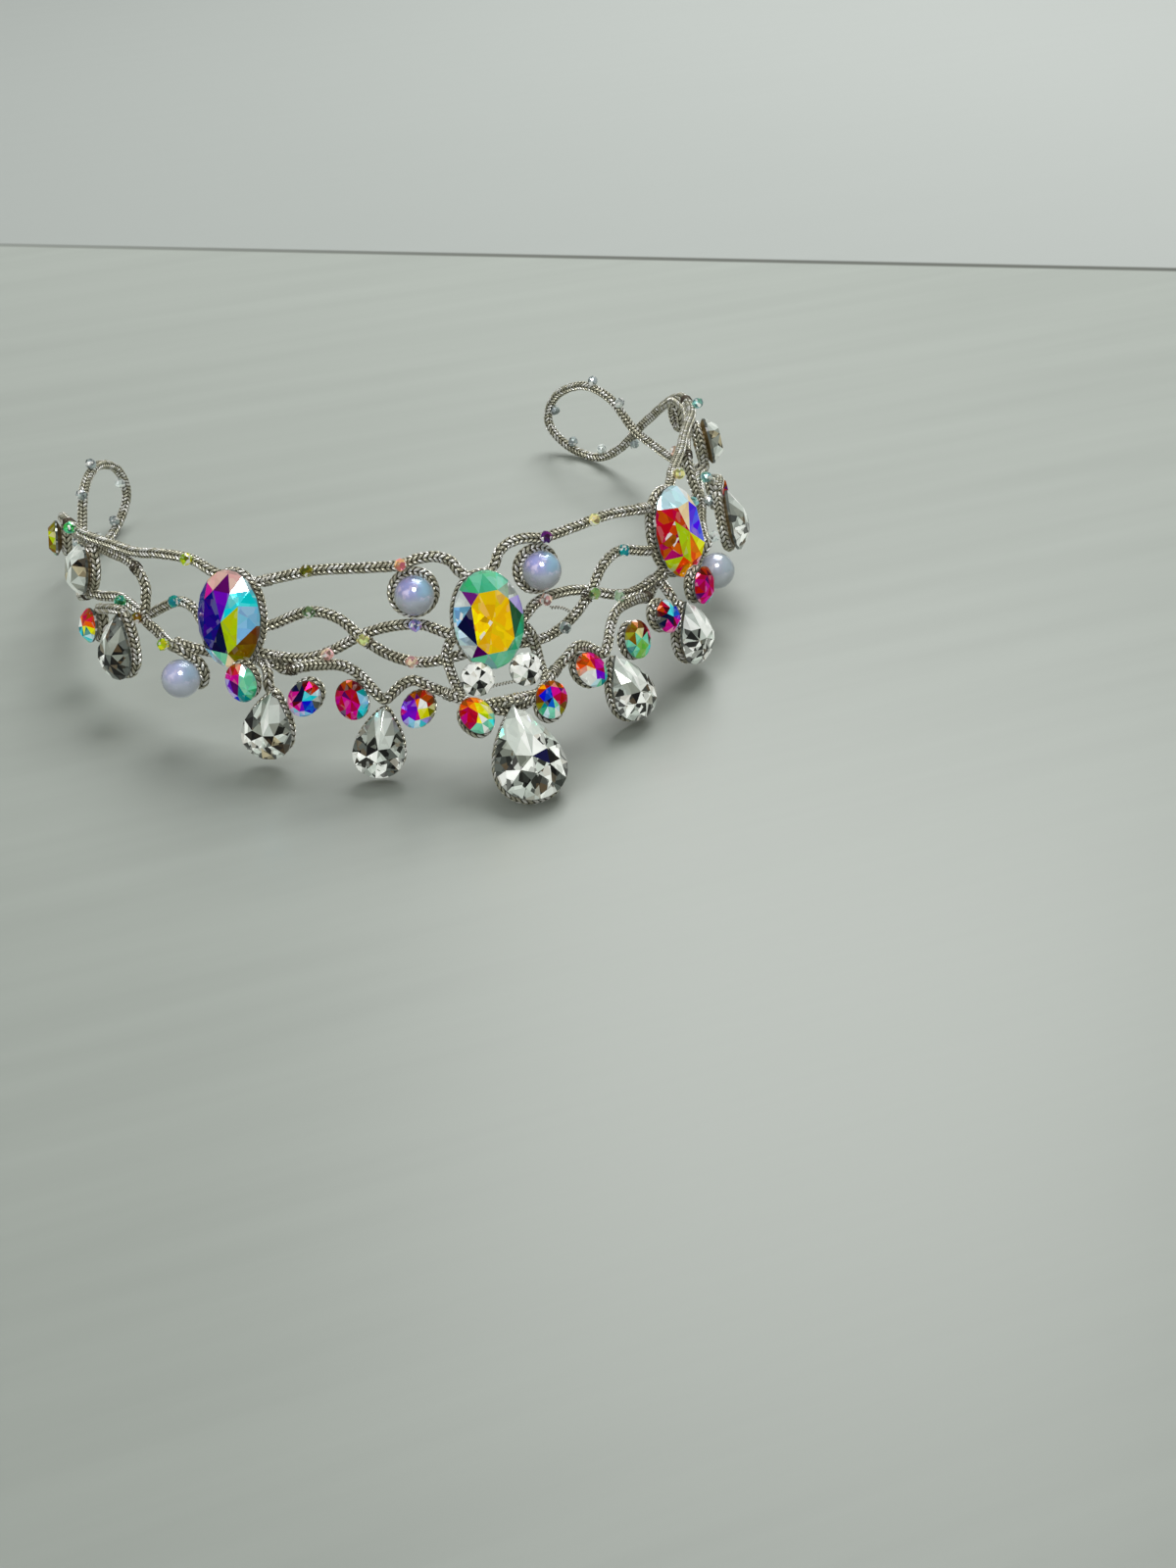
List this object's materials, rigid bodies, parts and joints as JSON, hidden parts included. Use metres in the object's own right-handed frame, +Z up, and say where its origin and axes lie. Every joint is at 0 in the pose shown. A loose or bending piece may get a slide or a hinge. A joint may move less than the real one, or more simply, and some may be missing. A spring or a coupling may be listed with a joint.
{
  "type": "ballet tiara",
  "caption": "Horseshoe-shaped ballet tiara of braided wire with faceted oval, pear and round stones, pearls, small accent beads and a loop at each end.",
  "frame": {"origin": "on the table under the middle of the whole tiara's box", "axes": "+Z up out of the table it rests on, the stones of the front face -Y, +X towards the wearer's left"},
  "size_m": [0.1922, 0.1898, 0.0485],
  "materials": {
    "braided_wire": "braided metallic thread, champagne silver",
    "shimmer_stone": "faceted, rainbow coated, foil backed",
    "clear_stone": "faceted, clear, foil backed",
    "pearl": "pearl lustre over milky lavender blue",
    "accent_bead": "small faceted glass"
  },
  "bodies": {
    "root": {"centre_oval": "shimmer_stone", "centre_pear": "clear_stone", "centre_ring": "braided_wire", "centre_setting": "braided_wire", "accent_beads": "accent_bead", "side_oval_left": "shimmer_stone", "side_oval_right": "shimmer_stone", "oval_ring_left": "braided_wire", "oval_ring_right": "braided_wire", "pear_a_left": "clear_stone", "pear_a_right": "clear_stone", "pear_b_left": "clear_stone", "pear_b_right": "clear_stone", "pear_c_left": "clear_stone", "pear_c_right": "clear_stone", "chaton_left": "clear_stone", "chaton_right": "clear_stone", "small_oval_centre_left": "shimmer_stone", "small_oval_centre_right": "shimmer_stone", "small_oval_a_inner_left": "shimmer_stone", "small_oval_a_inner_right": "shimmer_stone", "small_oval_a_outer_left": "shimmer_stone", "small_oval_a_outer_right": "shimmer_stone", "small_oval_b_inner_left": "shimmer_stone", "small_oval_b_inner_right": "shimmer_stone", "small_oval_b_outer_left": "shimmer_stone", "small_oval_b_outer_right": "shimmer_stone", "small_oval_c_left": "shimmer_stone", "small_oval_c_right": "shimmer_stone", "back_oval_left": "clear_stone", "back_oval_right": "clear_stone", "small_oval_d_left": "shimmer_stone", "small_oval_d_right": "shimmer_stone", "pearl_a_left": "pearl", "pearl_a_right": "pearl", "pearl_b_left": "pearl", "pearl_b_right": "pearl", "pearl_ring_left": "braided_wire", "pearl_ring_right": "braided_wire", "setting_a_left": "braided_wire", "setting_a_right": "braided_wire", "setting_b_left": "braided_wire", "setting_b_right": "braided_wire", "setting_c_left": "braided_wire", "setting_c_right": "braided_wire", "top_wire_left": "braided_wire", "top_wire_right": "braided_wire", "wave_rise_left": "braided_wire", "wave_rise_right": "braided_wire", "wave_dip_left": "braided_wire", "wave_dip_right": "braided_wire", "hanger_left": "braided_wire", "hanger_right": "braided_wire", "side_wire_left": "braided_wire", "side_wire_right": "braided_wire", "arch_wire_left": "braided_wire", "arch_wire_right": "braided_wire", "end_loop_left": "braided_wire", "end_loop_right": "braided_wire"}
  },
  "joints": []
}
